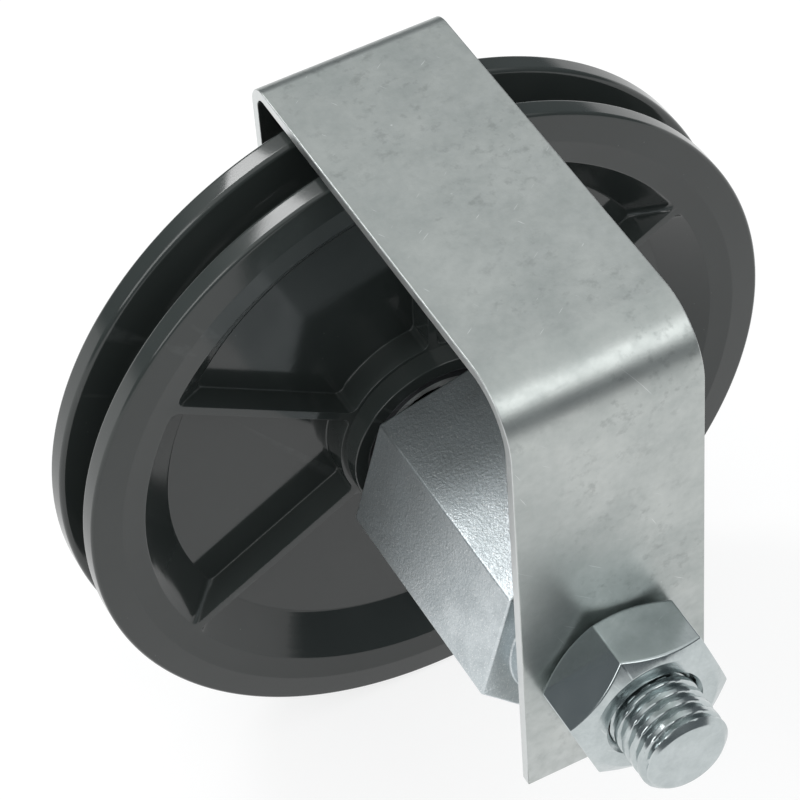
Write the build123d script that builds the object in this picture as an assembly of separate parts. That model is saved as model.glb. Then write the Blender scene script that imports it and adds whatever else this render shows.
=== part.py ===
"""Guarded rope pulley.

A moulded rope wheel on two ball bearings, carried by a hexagon axle with a threaded stud, under a folded
guard strap that both ends of the axle hold. Frame, in millimetres: the origin is the rope wheel's centre on
its spin axis, Y is the spin axis with the stud towards -Y, and +Z points at the strap's cross piece.
"""

import os
from math import cos, radians, sin, sqrt, tan

from build123d import *

# Rope wheel
WHEEL_D = 96.0
RIM_W = 12.4
RIM_EDGE = 0.5
RIDGE_H = 0.3
RIDGE_FROM_EDGE = 4.0
RIM_RING_W = 7.2
RIM_LAND_W = 0.6
RIM_SLOPE_W = 5.0
WEB_T = 4.4
RIB_COUNT = 6
RIB_T = 1.2
RIB_TURN = 1.9
POCKET_FLOOR_EDGE = 0.5
POCKET_MOUTH_EDGE = 0.3

# Rope groove
GROOVE_ROOT_R = 2.6
GROOVE_DEPTH = 9.0
GROOVE_MOUTH_W = 6.0
GROOVE_MOUTH_EDGE = 0.7

# Ball bearings, two side by side in the hub
BEARING_BORE_D = 8.0
BEARING_OD = 22.0
BEARING_W = 7.0
BALL_D = 3.97
BALL_COUNT = 7
BALL_BANDS = 6
RACE_PLAY = 0.065
RING_T = 2.15
SHIELD_T = 0.4
SHIELD_INSET = 0.25
SHIELD_GAP = 0.3
SHIELD_SEAT_H = 0.7
CAGE_T = 1.3
CAGE_SIDE_W = 0.5
CAGE_BALL_GAP = 0.08

# Retaining ring in the hub
RETAINER_T = 1.0
RETAINER_W = 2.5
RETAINER_SEAT_H = 0.5
RETAINER_GAP_W = 6.0
RETAINER_SIDE_GAP = 0.05

# Hub of the rope wheel
HUB_WALL = 2.0
HUB_ROOT_STEP = 0.5
HUB_EDGE = 0.5
HUB_LIP_T = 1.5
HUB_LIP_H = 1.5
HUB_END_T = 1.0

# Hexagon axle with its threaded stud
HEX_AF = 27.0
HEX_L = 33.0
HEX_TURN = -43.1
HEX_EDGE = 0.35
COLLAR_D = 22.0
COLLAR_L = 4.5
STUD_D = 11.8
THREAD_H = 0.47
STUD_FREE_L = 6.6
STUD_TIP = 1.1
BOLT_IN_AXLE = 13.8
TAPPED_PAST_BOLT = 4.2

# Guard strap
STRAP_W = 25.0
STRAP_T = 1.5
STRAP_OVER_WHEEL = 1.2
STRAP_LEG_BELOW = 16.5
NEAR_BEND_R = 8.5
FAR_BEND_R = 3.5
STRAP_EDGE = 0.15
STUD_HOLE_GAP = 0.6
BOLT_HOLE_GAP = 0.3

# Nut on the stud
NUT_AF = 19.0
NUT_H = 9.4
NUT_TURN = -19.9
NUT_FACE_STEP = 0.9
NUT_BORE_GAP = 0.05
NUT_SINK_GAP = 0.7
CHAMFER_DEG = 30.0

# Axle bolt, its washer and the spacers beside the bearings
BOLT_FIT = 0.02
BOLT_HEAD_AF = 13.0
BOLT_HEAD_H = 5.3
BOLT_FACE_STEP = 0.55
BOLT_TIP = 1.0
WASHER_W = 3.8
WASHER_GAP = 0.2
WASHER_T = 1.6
SPACER_T = 2.3
NEAR_SPACER_L = 5.5
FAR_SPACER_L = 3.6

# How far a cutting body runs past what it cuts, how far one form of a piece runs into another,
# and how near two sizes are when they count as the same
CUT_PAST = 1.0
RUN_IN = 1.0
SAME = 0.01

# Places along the spin axis; the two bearings stand face to face at the wheel's middle
BEARING_END = BEARING_W
HEX_INNER_Y = -(BEARING_END + NEAR_SPACER_L)
HEX_OUTER_Y = HEX_INNER_Y - HEX_L
NEAR_LEG_IN_Y = HEX_OUTER_Y - COLLAR_L
NEAR_LEG_OUT_Y = NEAR_LEG_IN_Y - STRAP_T
NUT_FRONT_Y = NEAR_LEG_OUT_Y - NUT_H
STUD_TIP_Y = NUT_FRONT_Y - STUD_FREE_L - STUD_TIP
FAR_LEG_IN_Y = BEARING_END + FAR_SPACER_L
FAR_LEG_OUT_Y = FAR_LEG_IN_Y + STRAP_T
BOLT_SEAT_Y = FAR_LEG_OUT_Y + WASHER_T
BOLT_TIP_Y = HEX_INNER_Y - BOLT_IN_AXLE
RETAINER_FAR_Y = -(BEARING_END + RETAINER_SIDE_GAP)
RETAINER_NEAR_Y = RETAINER_FAR_Y - RETAINER_T
RETAINER_SEAT_Y = RETAINER_NEAR_Y - RETAINER_SIDE_GAP
HUB_NEAR_Y = RETAINER_SEAT_Y - HUB_END_T
HUB_FAR_Y = BEARING_END + HUB_LIP_T

# Places across the spin axis
WHEEL_R = WHEEL_D / 2
RIDGE_R = WHEEL_R - RIDGE_FROM_EDGE
RIM_INNER_R = WHEEL_R - RIM_RING_W
FLOOR_R = RIM_INNER_R - RIM_SLOPE_W
GROOVE_SEAT_R = WHEEL_R - GROOVE_DEPTH + GROOVE_ROOT_R
WEB_IN_Z = WHEEL_R + STRAP_OVER_WHEEL
WEB_OUT_Z = WEB_IN_Z + STRAP_T
SHAFT_R = BEARING_BORE_D / 2
BEARING_R = BEARING_OD / 2
PITCH_R = (SHAFT_R + BEARING_R) / 2
RACE_R = BALL_D / 2 + RACE_PLAY
INNER_SHOULDER_R = SHAFT_R + RING_T
OUTER_SHOULDER_R = BEARING_R - RING_T
SHIELD_SEAT_R = OUTER_SHOULDER_R + SHIELD_SEAT_H
RETAINER_R = BEARING_R + RETAINER_SEAT_H
HUB_R = BEARING_R + HUB_WALL
HUB_ROOT_R = HUB_R + HUB_ROOT_STEP
HUB_LIP_R = BEARING_R - HUB_LIP_H
STUD_R = STUD_D / 2


def turned(points):
    """Solid of revolution about the spin axis, from a closed outline of (radius, y) points."""
    return revolve(make_face(Polyline(*points, close=True)), Axis.Y)


def tube(outer_r, inner_r, y_low, y_high):
    """Plain ring about the spin axis."""
    return turned([(inner_r, y_low), (outer_r, y_low), (outer_r, y_high), (inner_r, y_high)])


def along_y(sketch, y_low, y_high):
    """Prism of a sketch drawn in X and Z, standing between two places on the spin axis."""
    plane = Plane(origin=(0, y_low, 0), x_dir=(1, 0, 0), z_dir=(0, 1, 0))
    return extrude(plane * sketch, amount=y_high - y_low)


def hexagon(across_flats, turn, y_low, y_high):
    """Hexagon prism whose first corner stands at `turn` degrees from +Z towards +X."""
    corner_r = across_flats / sqrt(3)
    prism = along_y(RegularPolygon(corner_r, 6), y_low, y_high)
    return Rot(Y=turn - 30) * prism


def cone_cap(face_r, corner_r, y_face, y_inside):
    """Cone that bevels hexagon corners, from a face circle back to a place inside the piece."""
    side = 1 if y_inside > y_face else -1
    slope = tan(radians(CHAMFER_DEG))
    y_corner = y_face + side * (corner_r - face_r) * slope
    return turned([(0, y_face), (face_r, y_face), (corner_r, y_corner), (corner_r, y_inside), (0, y_inside)])


def wheel_blank():
    """Wheel before its bore and pockets: flat disc, ridged rim and round-bottomed groove."""
    mouth = GROOVE_MOUTH_W / 2
    far = [
        (GROOVE_SEAT_R, GROOVE_ROOT_R),
        (WHEEL_R - GROOVE_MOUTH_EDGE, mouth),
        (WHEEL_R, mouth + GROOVE_MOUTH_EDGE),
        (WHEEL_R, RIM_W / 2 - RIM_EDGE),
        (WHEEL_R - RIM_EDGE, RIM_W / 2),
        (RIDGE_R, RIM_W / 2 + RIDGE_H),
        (RIM_INNER_R + RIM_LAND_W, RIM_W / 2),
        (0, RIM_W / 2),
    ]
    near = [(r, -y) for r, y in reversed(far)]
    root = ThreePointArc(
        (GROOVE_SEAT_R, -GROOVE_ROOT_R), (GROOVE_SEAT_R - GROOVE_ROOT_R, 0), (GROOVE_SEAT_R, GROOVE_ROOT_R)
    )
    return revolve(make_face([root, Polyline(*far, *near)]), Axis.Y)


def ring_edges(part, radius):
    """Circular edges about the spin axis with the given radius."""
    return [
        edge
        for edge in part.edges().filter_by(GeomType.CIRCLE)
        if abs(edge.radius - radius) < SAME and edge.arc_center.cross(Vector(0, 1, 0)).length < SAME
    ]


def pocket():
    """Cutting body of one pocket: floor, hub wall, two rib walls and a wall that slopes up to the rim."""
    floor_y = WEB_T / 2
    past_y = RIM_W / 2 + CUT_PAST
    past_r = FLOOR_R + RIM_SLOPE_W * (past_y - floor_y) / (RIM_W / 2 - floor_y)
    ring = turned([(HUB_ROOT_R, floor_y), (FLOOR_R, floor_y), (past_r, past_y), (HUB_ROOT_R, past_y)])
    half_turn = radians(180 / RIB_COUNT)
    apex = RIB_T / 2 / sin(half_turn)
    side_x = WHEEL_D * cos(half_turn)
    side_z = WHEEL_D * sin(half_turn)
    wedge = Polyline((apex, 0), (apex + side_x, side_z), (apex + side_x, -side_z), close=True)
    body = ring & along_y(make_face(wedge), floor_y, past_y)
    floor = [edge for edge in body.edges() if edge.bounding_box().max.Y < floor_y + SAME]
    return chamfer(floor, POCKET_FLOOR_EDGE)


def rope_wheel():
    """Moulded wheel: grooved rim, ribs between pockets on both faces, and a hub with a bearing seat."""
    wheel = wheel_blank()
    far_pocket = Rot(Y=RIB_TURN - 90 + 180 / RIB_COUNT) * pocket()
    near_pocket = mirror(far_pocket, Plane.XZ)
    for i in range(RIB_COUNT):
        turn = Rot(Y=i * 360 / RIB_COUNT)
        wheel = wheel - turn * far_pocket - turn * near_pocket
    tops = [face for face in wheel.faces().filter_by(Axis.Y) if abs(abs(face.center().Y) - RIM_W / 2) < SAME]
    mouths = [edge for top in tops for mouth in top.inner_wires() for edge in mouth.edges()]
    wheel = chamfer(mouths, POCKET_MOUTH_EDGE)
    hub = tube(HUB_R, HUB_LIP_R, HUB_NEAR_Y, HUB_FAR_Y)
    wheel += chamfer(ring_edges(hub, HUB_R), HUB_EDGE)
    bore = tube(BEARING_R, 0, HUB_NEAR_Y - CUT_PAST, BEARING_END)
    retainer_seat = tube(RETAINER_R, 0, RETAINER_SEAT_Y, -BEARING_END)
    return wheel - bore - retainer_seat - tube(HUB_LIP_R, 0, -BEARING_END, HUB_FAR_Y + CUT_PAST)


def ball():
    """Bearing ball, its round made of a few straight bands to keep the whole set light."""
    step = 180 / BALL_BANDS
    angles = [radians(-90 + i * step) for i in range(BALL_BANDS + 1)]
    return turned([(BALL_D / 2 * max(cos(a), 0), BALL_D / 2 * sin(a)) for a in angles])


def bearing(middle):
    """The six pieces of one shielded ball bearing whose middle is at `middle` on the spin axis, by name."""
    low = middle - BEARING_W / 2
    high = middle + BEARING_W / 2
    race = Pos(0, middle, 0) * Rot(X=90) * Torus(PITCH_R, RACE_R)
    inner = tube(INNER_SHOULDER_R, SHAFT_R, low, high) - race
    outer = tube(BEARING_R, OUTER_SHOULDER_R, low, high) - race
    seat_depth = SHIELD_INSET + SHIELD_T
    shields = []
    for face, side in ((low, 1), (high, -1)):
        inside = face + side * seat_depth
        outer -= tube(SHIELD_SEAT_R, 0, min(face, inside), max(face, inside))
        skin = face + side * SHIELD_INSET
        y_low, y_high = sorted((skin, inside))
        shields.append(tube(SHIELD_SEAT_R, INNER_SHOULDER_R + SHIELD_GAP, y_low, y_high))
    cage_w = BALL_D + 2 * (CAGE_BALL_GAP + CAGE_SIDE_W)
    cage = tube(PITCH_R + CAGE_T / 2, PITCH_R - CAGE_T / 2, middle - cage_w / 2, middle + cage_w / 2)
    ball_hole = Rot(Y=90) * Cylinder(BALL_D / 2 + CAGE_BALL_GAP, CAGE_T + 2 * CUT_PAST)
    balls = []
    for i in range(BALL_COUNT):
        place = Rot(Y=i * 360 / BALL_COUNT) * Pos(PITCH_R, middle, 0)
        balls.append(place * ball())
        cage -= place * ball_hole
    return {
        "outer_ring": outer,
        "inner_ring": inner,
        "balls": Compound(children=balls),
        "cage": cage,
        "near_shield": shields[0],
        "far_shield": shields[1],
    }


def retaining_ring():
    """Open spring ring that holds the bearings in the hub, its gap at the bottom."""
    ring = tube(RETAINER_R, RETAINER_R - RETAINER_W, RETAINER_NEAR_Y, RETAINER_FAR_Y)
    gap = Box(RETAINER_GAP_W, RETAINER_T + 2 * CUT_PAST, 2 * (RETAINER_W + CUT_PAST))
    return ring - Pos(0, (RETAINER_NEAR_Y + RETAINER_FAR_Y) / 2, -RETAINER_R) * gap


def hexagon_axle():
    """Hexagon bar with a tapped inner end, and at its outer end a turned collar and the threaded stud.

    Inside the nut the stud has its thread's middle height, and beyond the nut its full height.
    """
    corner_r = HEX_AF / sqrt(3)
    engaged_r = STUD_R - THREAD_H
    bar = hexagon(HEX_AF, HEX_TURN, HEX_OUTER_Y, HEX_INNER_Y)
    bar &= turned(
        [
            (0, HEX_OUTER_Y),
            (corner_r - HEX_EDGE, HEX_OUTER_Y),
            (corner_r, HEX_OUTER_Y + HEX_EDGE),
            (corner_r, HEX_INNER_Y - HEX_EDGE),
            (corner_r - HEX_EDGE, HEX_INNER_Y),
            (0, HEX_INNER_Y),
        ]
    )
    stud = turned(
        [
            (0, HEX_OUTER_Y + RUN_IN),
            (COLLAR_D / 2, HEX_OUTER_Y + RUN_IN),
            (COLLAR_D / 2, NEAR_LEG_IN_Y),
            (engaged_r, NEAR_LEG_IN_Y),
            (engaged_r, NUT_FRONT_Y),
            (STUD_R, NUT_FRONT_Y),
            (STUD_R, STUD_TIP_Y + STUD_TIP),
            (STUD_R - STUD_TIP, STUD_TIP_Y),
            (0, STUD_TIP_Y),
        ]
    )
    tapped_end = BOLT_TIP_Y - TAPPED_PAST_BOLT
    drill_point = tapped_end - SHAFT_R * tan(radians(CHAMFER_DEG))
    tapped = turned([(0, HEX_INNER_Y), (SHAFT_R, HEX_INNER_Y), (SHAFT_R, tapped_end), (0, drill_point)])
    return bar + stud - tapped


def guard_strap():
    """One strip of sheet folded into a U over the wheel, with a hole in each leg for the axle."""
    outline = [
        (NEAR_LEG_OUT_Y, -STRAP_LEG_BELOW),
        (NEAR_LEG_OUT_Y, WEB_OUT_Z),
        (FAR_LEG_OUT_Y, WEB_OUT_Z),
        (FAR_LEG_OUT_Y, -STRAP_LEG_BELOW),
        (FAR_LEG_IN_Y, -STRAP_LEG_BELOW),
        (FAR_LEG_IN_Y, WEB_IN_Z),
        (NEAR_LEG_IN_Y, WEB_IN_Z),
        (NEAR_LEG_IN_Y, -STRAP_LEG_BELOW),
    ]
    section = make_face(Polyline(*outline, close=True))
    bends = {1: NEAR_BEND_R, 2: FAR_BEND_R, 5: FAR_BEND_R - STRAP_T, 6: NEAR_BEND_R - STRAP_T}
    for i, radius in bends.items():
        y, z = outline[i]
        corner = section.vertices().sort_by_distance((y, z, 0))[0]
        section = fillet(corner, radius)
    side = Plane(origin=(-STRAP_W / 2, 0, 0), x_dir=(0, 1, 0), z_dir=(1, 0, 0))
    strap = extrude(side * section, amount=STRAP_W)
    long_edges = [edge for edge in strap.edges() if edge.bounding_box().size.X < SAME]
    strap = chamfer(long_edges, STRAP_EDGE)
    strap -= tube(STUD_R + STUD_HOLE_GAP, 0, NEAR_LEG_OUT_Y - CUT_PAST, NEAR_LEG_IN_Y + CUT_PAST)
    return strap - tube(SHAFT_R + BOLT_HOLE_GAP, 0, FAR_LEG_IN_Y - CUT_PAST, FAR_LEG_OUT_Y + CUT_PAST)


def stud_nut():
    """Hexagon nut, both ends bevelled, bored to its thread's middle height and countersunk past the stud."""
    corner_r = NUT_AF / sqrt(3)
    face_r = NUT_AF / 2 - NUT_FACE_STEP
    bore_r = STUD_R - THREAD_H + NUT_BORE_GAP
    sink_r = STUD_R + NUT_SINK_GAP
    sink = sink_r - bore_r
    middle = (NUT_FRONT_Y + NEAR_LEG_OUT_Y) / 2
    nut = hexagon(NUT_AF, NUT_TURN, NUT_FRONT_Y, NEAR_LEG_OUT_Y)
    front_half = cone_cap(face_r, corner_r, NUT_FRONT_Y, middle)
    nut &= front_half + cone_cap(face_r, corner_r, NEAR_LEG_OUT_Y, middle)
    bore = turned(
        [
            (0, NUT_FRONT_Y),
            (sink_r, NUT_FRONT_Y),
            (bore_r, NUT_FRONT_Y + sink),
            (bore_r, NEAR_LEG_OUT_Y - sink),
            (sink_r, NEAR_LEG_OUT_Y),
            (0, NEAR_LEG_OUT_Y),
        ]
    )
    return nut - bore


def axle_bolt():
    """Hexagon bolt that passes the far leg, the spacers and both bearings into the axle's tapped end."""
    shank_r = SHAFT_R - BOLT_FIT
    head_top = BOLT_SEAT_Y + BOLT_HEAD_H
    face_r = BOLT_HEAD_AF / 2 - BOLT_FACE_STEP
    head = hexagon(BOLT_HEAD_AF, 0, BOLT_SEAT_Y, head_top)
    head &= cone_cap(face_r, BOLT_HEAD_AF / sqrt(3), head_top, BOLT_SEAT_Y)
    shank = turned(
        [
            (0, BOLT_SEAT_Y + RUN_IN),
            (shank_r, BOLT_SEAT_Y + RUN_IN),
            (shank_r, BOLT_TIP_Y + BOLT_TIP),
            (shank_r - BOLT_TIP, BOLT_TIP_Y),
            (0, BOLT_TIP_Y),
        ]
    )
    return head + shank


def bolt_washer():
    """Flat washer under the bolt's head."""
    bore_r = SHAFT_R + WASHER_GAP
    return tube(bore_r + WASHER_W, bore_r, FAR_LEG_OUT_Y, BOLT_SEAT_Y)


def spacer(y_low, y_high):
    """Short plain sleeve between a bearing's inner ring and its neighbour."""
    return tube(SHAFT_R + SPACER_T, SHAFT_R, y_low, y_high)


def pieces():
    """Every separate piece of the pulley by its node name."""
    made = {
        "rope_wheel": rope_wheel(),
        "retaining_ring": retaining_ring(),
        "hexagon_axle": hexagon_axle(),
        "guard_strap": guard_strap(),
        "stud_nut": stud_nut(),
        "axle_bolt": axle_bolt(),
        "bolt_washer": bolt_washer(),
        "near_spacer": spacer(HEX_INNER_Y, -BEARING_END),
        "far_spacer": spacer(BEARING_END, FAR_LEG_IN_Y),
    }
    for name, middle in (("near_bearing", -BEARING_W / 2), ("far_bearing", BEARING_W / 2)):
        for piece, shape in bearing(middle).items():
            made[f"{name}_{piece}"] = shape
    return made


os.makedirs("parts", exist_ok=True)
for node, shape in pieces().items():
    export_step(shape, f"parts/{node}.step")
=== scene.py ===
"""Dressed model of a guarded rope pulley.

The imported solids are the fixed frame. The wheel, the axle with its thread, the guard strap, the nut and
the bolt get finer meshes in the same places. The bearings, spacers, washer and retaining ring keep their
solids and get their finish here. Sizes are in millimetres, and angles about the spin axis run from +Z
towards +X.
"""

import logging
from collections.abc import Callable, Sequence
from dataclasses import dataclass, field
from enum import Enum
from math import atan, atan2, ceil, cos, hypot, pi, radians, sin, sqrt, tan
from typing import Any

import bmesh
import bpy
from mathutils import Matrix, Vector


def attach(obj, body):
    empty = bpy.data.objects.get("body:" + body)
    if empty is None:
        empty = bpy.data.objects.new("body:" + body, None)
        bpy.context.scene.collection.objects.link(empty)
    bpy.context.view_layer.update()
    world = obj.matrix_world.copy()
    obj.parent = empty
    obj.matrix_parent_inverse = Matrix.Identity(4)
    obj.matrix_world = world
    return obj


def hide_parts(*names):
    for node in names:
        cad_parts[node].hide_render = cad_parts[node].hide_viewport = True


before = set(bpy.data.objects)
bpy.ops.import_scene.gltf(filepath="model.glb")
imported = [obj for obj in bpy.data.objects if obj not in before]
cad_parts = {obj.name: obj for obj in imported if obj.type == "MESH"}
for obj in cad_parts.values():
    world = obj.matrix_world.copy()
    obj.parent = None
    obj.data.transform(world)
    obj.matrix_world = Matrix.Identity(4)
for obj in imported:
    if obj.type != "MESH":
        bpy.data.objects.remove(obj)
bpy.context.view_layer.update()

MM = 0.001
WELD_M = 1e-6
LOG = logging.getLogger("rope_pulley")

Point2 = tuple[float, float]
Point3 = tuple[float, float, float]
Colour = tuple[float, float, float]
Socket = bpy.types.NodeSocket

WHITE: Colour = (1.0, 1.0, 1.0)
HEX_SIDES = 6
SIDE_ANGLE = 2 * pi / HEX_SIDES
HALF_SIDE = pi / HEX_SIDES
STRAIGHT_DEG = 1.0
MIX_FACTOR = 0
MIX_FIRST = 6
MIX_SECOND = 7
MIX_RESULT = 2


class Body(Enum):
    """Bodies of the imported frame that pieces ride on."""

    FRAME = "frame"
    WHEEL = "wheel"


class Slot(Enum):
    """Material slots of the record."""

    WHEEL_PLASTIC = "wheel_plastic"
    SPRING_STEEL = "spring_steel"
    ZINC_BAR = "zinc_bar"
    ZINC_SHEET = "zinc_sheet"
    ZINC_FASTENER = "zinc_fastener"
    BEARING_STEEL = "bearing_steel"
    SHIELD_STEEL = "shield_steel"


class Effect(Enum):
    """Shared shader effects, each one a node group."""

    CLOUDS = "cloud_mottle"
    PEEL = "orange_peel"
    SCUFFS = "short_scuffs"
    WEAR = "edge_wear"
    DUST = "fine_dust"
    RINGS = "turned_rings"


def polar(radius: float, angle: float, along: float) -> Point3:
    """Return the point at a radius and angle about the spin axis and a place along it."""
    return (radius * sin(angle), along, radius * cos(angle))


def spread(start: float, end: float, steps: int) -> list[float]:
    """Return evenly spaced values from start to end, both included."""
    return [start + (end - start) * i / steps for i in range(steps + 1)]


def round_path(corners: Sequence[Point3], step_deg: float = 15.0) -> list[Point2]:
    """Round the inner corners of an open path.

    Args:
        corners: Points as (radius, place, rounding), where the first and last roundings aren't used.
        step_deg: Largest turn between two points of a rounding, in degrees.

    Returns:
        The path's points with an arc at every corner that has a rounding.
    """
    path: list[Point2] = [corners[0][:2]]
    for (ax, ay, _), (bx, by, rounding), (cx, cy, _) in zip(corners, corners[1:], corners[2:]):
        into = Vector((bx - ax, by - ay)).normalized()
        out = Vector((cx - bx, cy - by)).normalized()
        turn = into.angle_signed(out, 0.0)
        if rounding <= 0.0 or abs(turn) < radians(STRAIGHT_DEG):
            path.append((bx, by))
            continue
        back = rounding * tan(abs(turn) / 2)
        start = Vector((bx, by)) - into * back
        side = Vector((into.y, -into.x)) * (1.0 if turn > 0 else -1.0)
        centre = start + side * rounding
        spoke = start - centre
        steps = max(2, ceil(abs(turn) / radians(step_deg)))
        for angle in spread(0.0, -turn, steps):
            arm = Matrix.Rotation(angle, 2) @ spoke
            path.append((centre.x + arm.x, centre.y + arm.y))
    path.append(corners[-1][:2])
    return path


class Draft:
    """Rings of points, in millimetres, that grow into one mesh."""

    def __init__(self) -> None:
        """Start with no points and no faces."""
        self.points: list[Point3] = []
        self.faces: list[tuple[int, ...]] = []

    def ring(self, points: Sequence[Point3]) -> list[int]:
        """Add a ring of points.

        Args:
            points: The ring's points in order.

        Returns:
            The numbers of the new points.
        """
        start = len(self.points)
        self.points.extend(points)
        return list(range(start, len(self.points)))

    def bridge(self, first: Sequence[int], second: Sequence[int]) -> None:
        """Join two closed rings that have the same number of points."""
        count = len(first)
        for i in range(count):
            j = (i + 1) % count
            self.faces.append((first[i], first[j], second[j], second[i]))

    def strip(self, rings: Sequence[Sequence[int]]) -> None:
        """Join each ring to the next one."""
        for first, second in zip(rings, rings[1:]):
            self.bridge(first, second)

    def lathe(self, profile: Sequence[Point2], angles: Sequence[float]) -> list[list[int]]:
        """Turn a profile about the spin axis.

        Args:
            profile: Points as (radius, place along the axis).
            angles: Angles of the mesh's columns.

        Returns:
            The ring of each profile point.
        """
        rings = [self.ring([polar(radius, angle, along) for angle in angles]) for radius, along in profile]
        self.strip(rings)
        return rings

    def cap(self, ring: Sequence[int]) -> None:
        """Close a ring with one flat face."""
        self.faces.append(tuple(ring))

    def shape(self, name: str, sharp_deg: float = 40.0) -> bpy.types.Object:
        """Make the mesh object.

        Args:
            name: The object's name.
            sharp_deg: Edges that turn by more than this stay sharp in the shading.

        Returns:
            The object, in metres, with its faces turned outwards.
        """
        mesh = bpy.data.meshes.new(name)
        mesh.from_pydata([tuple(value * MM for value in point) for point in self.points], [], self.faces)
        shell = bmesh.new()
        shell.from_mesh(mesh)
        bmesh.ops.remove_doubles(shell, verts=shell.verts, dist=WELD_M)
        bmesh.ops.recalc_face_normals(shell, faces=shell.faces)
        shell.to_mesh(mesh)
        shell.free()
        piece = bpy.data.objects.new(name, mesh)
        bpy.context.scene.collection.objects.link(piece)
        soften(piece, sharp_deg)
        return piece


def soften(piece: bpy.types.Object, sharp_deg: float) -> None:
    """Shade a piece smoothly, with its large faces kept flat.

    Args:
        piece: The mesh object.
        sharp_deg: Edges that turn by more than this stay sharp.
    """
    mesh = piece.data
    mesh.polygons.foreach_set("use_smooth", [True] * len(mesh.polygons))
    mesh.set_sharp_from_angle(angle=radians(sharp_deg))
    if "even_faces" not in piece.modifiers:
        weighted = piece.modifiers.new("even_faces", "WEIGHTED_NORMAL")
        weighted.keep_sharp = True


def cut(piece: bpy.types.Object, tool: bpy.types.Object) -> None:
    """Cut one mesh out of another and delete the object that cuts.

    Args:
        piece: The mesh that is cut.
        tool: The closed mesh that is taken away from it.
    """
    modifier = piece.modifiers.new("cut", "BOOLEAN")
    modifier.operation = "DIFFERENCE"
    modifier.solver = "EXACT"
    modifier.object = tool
    bpy.context.view_layer.update()
    evaluated = piece.evaluated_get(bpy.context.evaluated_depsgraph_get())
    old = piece.data
    piece.data = bpy.data.meshes.new_from_object(evaluated)
    piece.modifiers.remove(modifier)
    bpy.data.meshes.remove(old)
    bpy.data.objects.remove(tool)


@dataclass(frozen=True)
class Pattern:
    """Noise by its size in millimetres and its layers, and the band of its values that counts."""

    band: Point2
    size: float = 1.0
    detail: float = 2.0
    roughness: float = 0.5
    to: Point2 = (0.0, 1.0)


@dataclass(frozen=True)
class Dots:
    """Dots in a field of cells, by the cells in a millimetre and the band of distances where a dot ends."""

    per_mm: float
    edge: Point2


@dataclass(frozen=True)
class Scratch:
    """Scratches in one direction, by how dense they are along and across it and how rare they are."""

    along: Point3
    across: Point3
    limit: float
    fade: float = 0.03


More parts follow.
